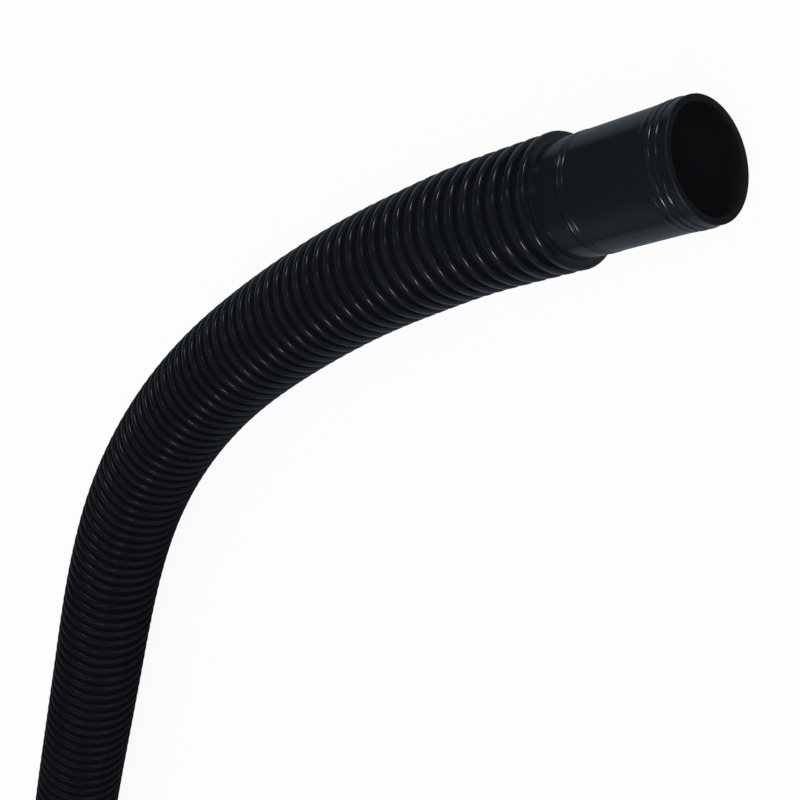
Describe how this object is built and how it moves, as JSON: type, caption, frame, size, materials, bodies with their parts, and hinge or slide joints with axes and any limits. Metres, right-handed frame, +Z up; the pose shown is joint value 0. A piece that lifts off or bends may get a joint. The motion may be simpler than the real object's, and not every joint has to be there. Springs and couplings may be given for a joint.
{
  "type": "pool vacuum hose",
  "caption": "Black corrugated pool vacuum hose section lying in a curve, with a smooth turning cuff at one end and a fixed cuff at the other.",
  "frame": {"origin": "centre of the turning cuff's mouth, on the cuff's axis", "axes": "+X leaves the turning cuff's mouth along its axis, +Z is up from the surface the hose lies on"},
  "size_m": [0.665, 0.7869, 0.0488],
  "materials": {
    "hose": "satin-gloss extruded black polyethylene",
    "cuff": "satin moulded black plastic",
    "spigot": "satin moulded black plastic",
    "ring": "satin moulded black plastic",
    "seal": "matt black rubber"
  },
  "bodies": {
    "hose_body": {"hose": "hose", "swivel_spigot": "spigot", "fixed_cuff": "cuff"},
    "turning_cuff": {"swivel_cuff": "cuff", "retaining_ring": "ring", "seal_washer": "seal"}
  },
  "joints": [
    {"name": "cuff_turn", "type": "hinge", "parent": "hose_body", "child": "turning_cuff", "pos_m": [0, 0, 0], "axis": [1, 0, 0], "continuous": true}
  ]
}
